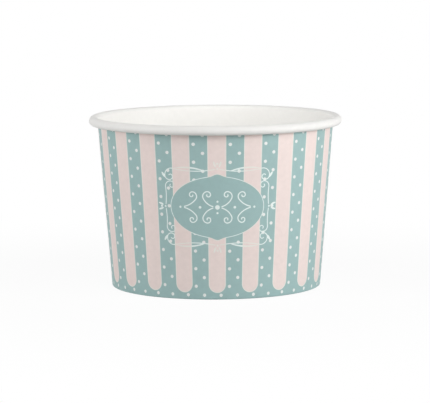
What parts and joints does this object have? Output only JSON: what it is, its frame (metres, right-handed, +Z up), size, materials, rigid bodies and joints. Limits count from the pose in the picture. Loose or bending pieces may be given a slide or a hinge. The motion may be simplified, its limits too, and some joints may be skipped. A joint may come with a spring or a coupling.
{
  "type": "paper cup",
  "caption": "Squat tapered paper cup with a rolled rim, a lapped side seam, a hemmed foot and a raised base disc, printed with stripes and dots.",
  "frame": {"origin": "centre of the foot ring on the surface that the cup stands on", "axes": "+Z up along the cup's axis, -Y towards the printed front, the side seam at +Y"},
  "size_m": [0.095, 0.095, 0.064],
  "materials": {
    "printed_board": "satin coated board, printed outside and white inside",
    "white_board": "plain white coated board"
  },
  "bodies": {
    "root": {"sidewall": "printed_board", "base_disc": "white_board"}
  },
  "joints": []
}
